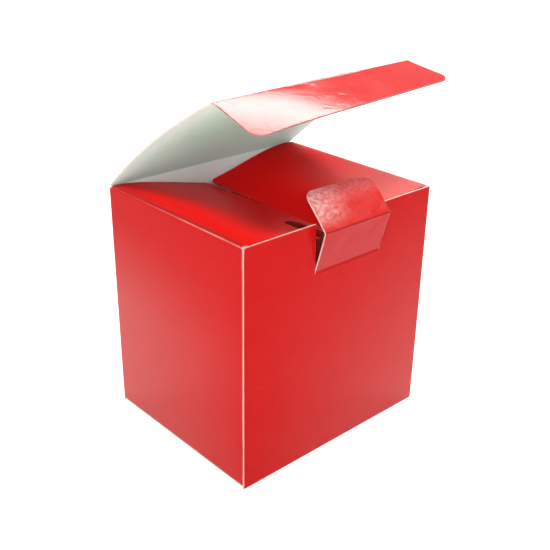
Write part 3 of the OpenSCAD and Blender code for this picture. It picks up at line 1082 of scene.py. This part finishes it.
def red_film(name, colour, finish, index=1.3, crumple=0.0, peel=0.0045, rough=0.19, dulled=None):
    """Red board under a gloss film of a given refractive index, rubbed along its edges and creases.

    On the lock tab, whose second red for its dulled parts is part handling, part painted reflection, creases
    get painted shade.
    """
    colour = tuple(colour)
    crushed = crumple > 1
    material, tree, shader = new_finish(name, colour)
    fibre = placed(tree, paper_fibre, Size_mm=0.5, Clouds_mm=14.0)
    skin = placed(tree, film_skin, Peel_mm=1.9)
    rubbed = placed(tree, rubbed_edges, Cut_mm=0.2, Crease_mm=0.42, Wear=finish.wear,
                    Crease_Wear=0.0 if dulled else 1.0)
    handled = placed(tree, handled_board, Kink_mm=6.0 if crumple < 1 else 3.2)
    unspared = minus(1.0, masked(tree, "spared"), clamp=True)
    sheltered = masked(tree, "sheltered")
    haze = masked(tree, "haze")

    red = mixed(fibre["Shade"], scaled(colour, 0.96), scaled(colour, 1.02, 0.002))
    # brighter red where light is painted on the dust flaps
    red = mixed(sheltered, red, (min(1.0, colour[0] * 1.75), *colour[1:]))
    # the lock tab's dulled red: part handling, part painted reflection of the floor
    if dulled:
        red = mixed(masked(tree, "dulled"), red, dulled)
    if crushed:
        haze = times(haze, plus(times(handled["Mottle"], 1.3), 0.35))
    # pale painted sheen and highlight, with scuffs on the lock tab's tip
    red = mixed(times(haze, 0.07), red, (0.8, 0.7, 0.7))
    # the lock tab's dark crease lines are painted shade; the pale crease lines elsewhere are rubbed film
    creased = times(times(rubbed["Crease Line"], 0.75 if dulled else 0.22), unspared)
    red = mixed(creased, red, (0.22, 0.0, 0.0) if dulled else (0.85, 0.16, 0.13))
    scuffed = times(handled["Scuff"], 0.10 + 0.25 * min(1.0, crumple))
    red = mixed(scuffed, red, (0.8, 0.3, 0.3))
    worn = times(rubbed["Mask"], minus(unspared, sheltered, clamp=True))
    red = mixed(worn, red, finish.core)
    # red board throws less of its colour on the white board beside it than a plain surface would
    thrown = tree.nodes.new("ShaderNodeLightPath").outputs["Is Diffuse Ray"]
    red = mixed(thrown, red, (0.23, 0.26, 0.23))

    dull = plus(times(skin["Dull"], 0.05), rough)
    dull = plus(dull, times(rubbed["Mask"], 0.4), clamp=True)
    dull = plus(dull, times(handled["Scuff"], 0.1), clamp=True)
    height = times(skin["Height"], peel)
    if crumple:
        kinks = times(handled["Height"], 0.05 * crumple)
        if crushed:
            kinks = plus(kinks, times(handled["Mottle"], 0.05))
        height = plus(height, kinks)
    surfaced(tree, shader, red, dull, height)
    shader.inputs["IOR"].default_value = index
    return material


def white_inside(colour, let_through=0.0):
    """The uncoated inner face: soft, matt and slightly cloudy, with a faint painted red glow for the light let
    through.
    """
    name = "uncoated_board_closed_in" if let_through else "uncoated_board"
    if name in bpy.data.materials:
        return bpy.data.materials[name]
    material, tree, shader = new_finish(name, colour)
    fibre = placed(tree, paper_fibre, Size_mm=0.45, Clouds_mm=7.0)
    rubbed = placed(tree, rubbed_edges, Cut_mm=0.5, Crease_mm=1.0, Wear=0.4)
    white = mixed(fibre["Shade"], scaled(colour, 0.93), tuple(colour))
    # paler where light is painted on the lid's inner face
    white = mixed(times(masked(tree, "pale"), 0.9), white, (0.96, 0.97, 0.95))
    shaded = masked(tree, "red_shade")
    # dark red painted shade on the inner face under the dust flaps
    white = mixed(times(shaded, 0.9), white, (0.14, 0.002, 0.002))
    white = mixed(times(rubbed["Mask"], minus(1.0, shaded)), white, (0.66, 0.62, 0.58))
    rough = plus(times(fibre["Shade"], 0.12), 0.58)
    height = minus(times(fibre["Height"], 0.02), times(rubbed["Crease Line"], 0.08))
    surfaced(tree, shader, white, rough, height)
    # a faint red glow painted inside the box, for the light the board lets through
    shader.inputs["Emission Color"].default_value = (1.0, 0.01, 0.0, 1.0)
    shader.inputs["Emission Strength"].default_value = let_through
    return material


def cut_board(finish):
    """The raw edge: white core in thin layers, with the red film as a hairline on its outer side."""
    name = "raw_cut_board"
    if name in bpy.data.materials:
        return bpy.data.materials[name]
    material, tree, shader = new_finish(name, finish.core)
    fibre = placed(tree, paper_fibre, Size_mm=0.25, Clouds_mm=4.0)
    ply = masked(tree, "ply_mm")
    layers = sine(times(ply, 36.0))
    layered = plus(times(layers, 0.25), fibre["Shade"], clamp=True)
    core = mixed(layered, scaled(finish.core, 0.88), scaled(finish.core, 1.05))
    core = mixed(times(ranged(ply, 0.27, 0.33), 0.35), core, (0.7, 0.1, 0.09))
    # red on the cut edges: smeared film, and painted shade on the dust flaps and tuck flap
    core = mixed(times(masked(tree, "rim_red"), 0.95), core, (0.36, 0.006, 0.006))
    rough = plus(times(fibre["Shade"], 0.1), 0.75)
    height = plus(times(layers, 0.01), times(fibre["Height"], 0.03))
    surfaced(tree, shader, core, rough, height)
    shader.inputs["IOR"].default_value = 1.12
    return material


# ---------------------------------------------------------------- operators

# How much light the board lets through into the box
# shown as a faint red glow painted on the inside of the box
LET_THROUGH = 0.025


def crease_by_the_slit():
    """The lid's front crease, on both sides of the slit."""
    middle = U_BACK_MIDDLE
    return [(middle - LID_HALF, V_CREASE, middle + SLIT_LEFT, V_CREASE),
            (middle + SLIT_RIGHT, V_CREASE, middle + LID_HALF, V_CREASE)]


def settings(context):
    scene = context.scene
    return scene.carton_board, scene.carton_flaps, scene.carton_tab, scene.carton_finish


class CARTON_OT_fold_box(bpy.types.Operator):
    """Cut and fold the walls, glue flap, dust flaps and bottom of the box"""

    bl_idname = "carton.fold_box"
    bl_label = "Fold Box"

    def execute(self, context):
        board, flaps, _, finish = settings(context)
        step = board.lattice / MM
        corners = (U_SEAM, U_BACK_LEFT, U_BACK_RIGHT, U_FRONT_RIGHT)
        spans = [(first + 1, last - 1, step) for first, last in zip(corners, corners[1:])]
        columns = lines((0.0, U_SEAM - 1, step), round_the_walls(board).rows(), *spans,
                        (U_FRONT_RIGHT + 1, U_END, step))
        rows = lines((-109.0, -94.0, 4), (-92.5, 0.0, 5), up_the_back_wall().rows(4),
                     up_a_side_wall(board, flaps.dust_left).rows(), (3.0, V_TOP - 1.5, step),
                     (V_TOP + 1.5, V_TOP + DUST_LENGTH, 2.2))
        creases = [(u, 0, u, V_TOP) for u in corners]
        creases += [(first, v, last, v) for first, last, v in (
            (U_SEAM, U_BACK_LEFT - 2, V_TOP), (U_BACK_LEFT, U_BACK_RIGHT, V_TOP),
            (U_BACK_RIGHT + 2, U_FRONT_RIGHT, V_TOP), (U_SEAM, U_BACK_LEFT, V_INNER_FOOT),
            (U_BACK_RIGHT, U_FRONT_RIGHT, V_INNER_FOOT), (U_BACK_LEFT, U_BACK_RIGHT, V_BASE),
            (U_BACK_LEFT, U_BACK_RIGHT, V_BASE - BASE_DEPTH))]
        materials = [red_film("red_film_box", finish.box_red, finish, index=1.16),
                     white_inside(finish.inner_wall, LET_THROUGH), cut_board(finish),
                     red_film("red_film_dust_flaps", finish.box_red, finish, index=1.07)]
        masks = {"haze": wall_haze, "sheltered": flap_glow, "rim_red": box_rim, "spared": spared,
                 "red_shade": under_flaps}
        piece = folded_sheet("box_walls_and_flaps", Blank(carton_outline(), columns, rows, board, creases),
                             carton_place(board, flaps), board, materials, masks, other=on_dust_flap)
        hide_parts("carton")
        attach(piece, "box")
        return {"FINISHED"}


class CARTON_OT_fold_lid(bpy.types.Operator):
    """Cut and fold the bowed lid on the back wall's top crease"""

    bl_idname = "carton.fold_lid"
    bl_label = "Fold Lid"

    def execute(self, context):
        board, flaps, _, finish = settings(context)
        left, right = U_BACK_MIDDLE - LID_HALF, U_BACK_MIDDLE + LID_HALF
        columns = lines((left, right, 2.6))
        rows = lines(over_the_lid(board, flaps.tuck_slope).rows(), (V_TOP + 1.5, V_CREASE - 1.5, 2.4),
                     [V_TOP - ROOT, V_CREASE - ROOT])
        creases = [(left, V_TOP, right, V_TOP), *crease_by_the_slit()]
        film = red_film("red_film_lid", finish.lid_red, finish)
        piece = folded_sheet("lid_panel", Blank(lid_outline(), columns, rows, board, creases),
                             lid_place(board, flaps), board,
                             [film, white_inside(finish.inside), cut_board(finish)], {"pale": lid_pale})
        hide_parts("lid")
        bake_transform(piece)
        return {"FINISHED"}


class CARTON_OT_fold_tuck_flap(bpy.types.Operator):
    """Cut and fold the tuck flap, with the slit for the lock tab in its crease"""

    bl_idname = "carton.fold_tuck_flap"
    bl_label = "Fold Tuck Flap"

    def execute(self, context):
        board, flaps, _, finish = settings(context)
        columns = lines((U_BACK_MIDDLE - TUCK_HALF, U_BACK_MIDDLE + TUCK_HALF, 1.8))
        rows = lines(over_the_lid(board, flaps.tuck_slope).rows(),
                     (V_CREASE + 1.2, V_CREASE + TUCK_LENGTH, 1.6), [V_CREASE - ROOT])
        film = red_film("red_film_tuck", finish.lid_red, finish, index=1.15, crumple=0.6, rough=0.12)
        blank = Blank(tuck_outline(), columns, rows, board, crease_by_the_slit())
        piece = folded_sheet("tuck_flap_panel", blank, lid_place(board, flaps), board,
                             [film, white_inside(finish.inside), cut_board(finish)], {"rim_red": on_tuck_rim})
        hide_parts("tuck_flap")
        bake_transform(piece)
        return {"FINISHED"}


class CARTON_OT_fold_lock_tab(bpy.types.Operator):
    """Cut and fold the two panels of the lock tab in the front wall"""

    bl_idname = "carton.fold_lock_tab"
    bl_label = "Fold Lock Tab"

    def execute(self, context):
        board, _, tab, finish = settings(context)
        folds = up_the_tab(board, tab).rows()
        left, right = U_TAB, U_TAB + 2 * TAB_HALF
        columns = lines((left, right, 0.8))
        fold_v = V_TAB + TAB_BASE
        creases = [(left, V_TAB, right, V_TAB), (left, fold_v, right, fold_v)]
        handled = {"peel": 0.006, "dulled": finish.tab_base_red}
        lower_film = red_film("red_film_tab_base", finish.box_red, finish, index=1.16, crumple=0.8, **handled)
        tip_film = red_film("red_film_tab", finish.tab_red, finish, index=1.2, crumple=1.6, **handled)
        others = [white_inside(finish.inside), cut_board(finish)]
        place = tab_place(board, tab)
        rows = lines([V_TAB - ROOT], folds, (V_TAB + 1.2, fold_v - ROOT, 0.8))
        base = folded_sheet("lock_tab_lower_panel", Blank(tab_base_outline(), columns, rows, board, creases),
                            place, board, [lower_film, *others], {"dulled": base_dulled, "rim_red": tab_rim})
        rows = lines([fold_v - ROOT], folds, (fold_v + 1.2, fold_v + 21, 0.8))
        tip = folded_sheet("lock_tab_tip_panel", Blank(tab_tip_outline(tab), columns, rows, board, creases),
                           place, board, [tip_film, *others],
                           {"haze": tip_haze, "dulled": tip_dulled, "rim_red": tab_rim})
        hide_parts("lock_tab_base")
        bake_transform(base)
        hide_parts("lock_tab_tip")
        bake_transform(tip)
        return {"FINISHED"}


# The floor and the backdrop that it curves up into, in metres
FLOOR_FRONT, FLOOR_BACK, FLOOR_HALF = 3.0, 2.6, 4.0
COVE, BACKDROP_HEIGHT = 0.8, 3.0
FLOOR_TURN = math.radians(-42.5)

WARM, PLAIN, COOL = (1.0, 0.98, 0.92), (1.0, 0.985, 0.95), (0.98, 0.98, 1.0)

# Each lamp's name, place, target and width in metres, and its colour
LAMPS = (
    ("key_lamp", (0.361, 0.241, 0.823), (0.0, -0.04, 0.165), 0.4, PLAIN),
    ("left_lamp", (-0.70, -0.50, 0.22), (0.0, 0.0, 0.08), 0.6, WARM),
    ("high_lamp", (-0.359, -0.314, 0.843), (0.0, 0.0, 0.06), 0.2, WARM),
    ("side_lamp", (-0.836, -0.093, 0.405), (0.0, 0.0, 0.06), 0.6, WARM),
    ("low_lamp", (0.089, -0.89, 0.169), (0.0, 0.0, 0.06), 0.4, COOL),
    ("right_lamp", (0.520, -0.270, 0.612), (0.0, -0.05, 0.12), 0.25, PLAIN),
    ("gloss_lamp", (0.438, 0.351, 0.748), (-0.042, -0.040, 0.166), 0.25, PLAIN),
)


def soft_lamp(name, place, target, size, colour, power):
    """A square lamp that faces its target."""
    lamp = bpy.data.lights.new(name, "AREA")
    lamp.color = colour
    lamp.size = size
    lamp.energy = power
    holder = bpy.data.objects.new(name, lamp)
    bpy.context.scene.collection.objects.link(holder)
    holder.location = place
    holder.rotation_euler = (Vector(target) - Vector(place)).to_track_quat("-Z", "Y").to_euler()


def seen_directly(tree):
    """1 for rays from the camera, a reflection or a transmission, 0 for the rest."""
    path = tree.nodes.new("ShaderNodeLightPath")
    bounced = larger(path.outputs["Is Glossy Ray"], path.outputs["Is Transmission Ray"])
    return larger(path.outputs["Is Camera Ray"], bounced)


class CARTON_OT_set_studio(bpy.types.Operator):
    """Set up the floor, the backdrop, the soft lamps and the camera"""

    bl_idname = "carton.set_studio"
    bl_label = "Set Studio"

    def execute(self, context):
        studio = context.scene.carton_studio
        scene = context.scene
        scene.view_settings.view_transform = "Standard"

        material, tree, shader = new_finish("pale_paper_floor", studio.floor_colour)
        shader.inputs["Base Color"].default_value = (*studio.floor_colour, 1.0)
        shader.inputs["Roughness"].default_value = 0.9
        shader.inputs["Specular IOR Level"].default_value = 0.1
        shader.inputs["Emission Color"].default_value = (1.0, 1.0, 1.0, 1.0)
        place = tree.nodes.new("ShaderNodeNewGeometry").outputs["Position"]
        away = add(tree, "ShaderNodeVectorMath", {0: place}, operation="LENGTH").outputs["Value"]
        # all white far off, and less so beside the box, where its shadow shows
        white = ranged(away, 0.25, 1.4, 0.42, 1.0)
        tree.links.new(times(seen_directly(tree), white), shader.inputs["Emission Strength"])
        profile = [(-FLOOR_FRONT, 0.0), (FLOOR_BACK, 0.0)]
        profile += [(FLOOR_BACK + COVE * math.sin(a), COVE - COVE * math.cos(a))
                    for a in np.linspace(0.1, math.pi / 2, 12)]
        profile += [(FLOOR_BACK + COVE, BACKDROP_HEIGHT)]
        verts = [(x, y, z) for y, z in profile for x in (-FLOOR_HALF, FLOOR_HALF)]
        faces = [(2 * i, 2 * i + 1, 2 * i + 3, 2 * i + 2) for i in range(len(profile) - 1)]
        mesh = bpy.data.meshes.new("floor_and_backdrop")
        mesh.from_pydata(verts, [], faces)
        mesh.shade_smooth()
        mesh.materials.append(material)
        floor = bpy.data.objects.new("floor_and_backdrop", mesh)
        scene.collection.objects.link(floor)
        floor.rotation_euler.z = FLOOR_TURN
        floor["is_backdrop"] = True

        world = bpy.data.worlds.new("light_tent")
        scene.world = world
        world.use_nodes = True
        tree = world.node_tree
        background = tree.nodes["Background"]
        background.inputs["Color"].default_value = (1.0, 1.0, 1.0, 1.0)
        direct = seen_directly(tree)
        strength = plus(times(direct, 1.0 - studio.fill), studio.fill)
        tree.links.new(strength, background.inputs["Strength"])

        for name, *rest in LAMPS:
            soft_lamp(name, *rest, getattr(studio, name))

        lens = bpy.data.cameras.new("camera")
        lens.sensor_width = 36.0
        lens.lens = studio.camera_lens
        lens.clip_start = 0.01
        camera = bpy.data.objects.new("camera", lens)
        scene.collection.objects.link(camera)
        back = -Vector(studio.camera_view).normalized()
        right = Vector((0, 0, 1)).cross(back).normalized()
        up = back.cross(right)
        c, s = math.cos(studio.camera_roll), math.sin(studio.camera_roll)
        axes = Matrix((right * c + up * s, up * c - right * s, back)).transposed()
        camera.matrix_world = Matrix.Translation(Vector(studio.camera_place)) @ axes.to_4x4()
        scene.camera = camera
        return {"FINISHED"}


class CARTON_PT_maker(bpy.types.Panel):
    """Sizes, colours and steps of the carton"""

    bl_label = "Folding Carton"
    bl_idname = "CARTON_PT_maker"
    bl_space_type = "VIEW_3D"
    bl_region_type = "UI"
    bl_category = "Carton"

    def draw(self, context):
        layout = self.layout
        for title, group in (("Board", "carton_board"), ("Flaps", "carton_flaps"), ("Lock Tab", "carton_tab"),
                             ("Finish", "carton_finish"), ("Studio", "carton_studio")):
            column = layout.column(heading=title)
            column.label(text=title)
            values = getattr(context.scene, group)
            for label in values.__annotations__:
                column.prop(values, label)
        for operator in STEPS:
            layout.operator(operator.bl_idname)


GROUPS = {"carton_board": CartonBoard, "carton_flaps": CartonFlaps, "carton_tab": CartonTab,
          "carton_finish": CartonFinish, "carton_studio": CartonStudio}
STEPS = (CARTON_OT_fold_box, CARTON_OT_fold_lid, CARTON_OT_fold_tuck_flap, CARTON_OT_fold_lock_tab,
         CARTON_OT_set_studio)


def register():
    for cls in (*GROUPS.values(), *STEPS, CARTON_PT_maker):
        bpy.utils.register_class(cls)
    for name, cls in GROUPS.items():
        setattr(bpy.types.Scene, name, bpy.props.PointerProperty(type=cls))


def unregister():
    for name in GROUPS:
        delattr(bpy.types.Scene, name)
    for cls in reversed((*GROUPS.values(), *STEPS, CARTON_PT_maker)):
        bpy.utils.unregister_class(cls)


def main():
    register()
    bpy.ops.carton.fold_box()
    bpy.ops.carton.fold_lid()
    bpy.ops.carton.fold_tuck_flap()
    bpy.ops.carton.fold_lock_tab()
    bpy.ops.carton.set_studio()
    boxes = {"cad_box": CAD_BOX, "visual_box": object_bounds()}
    {name: [list(corner) for corner in box] for name, box in boxes.items()}


if __name__ == "__main__":
    main()
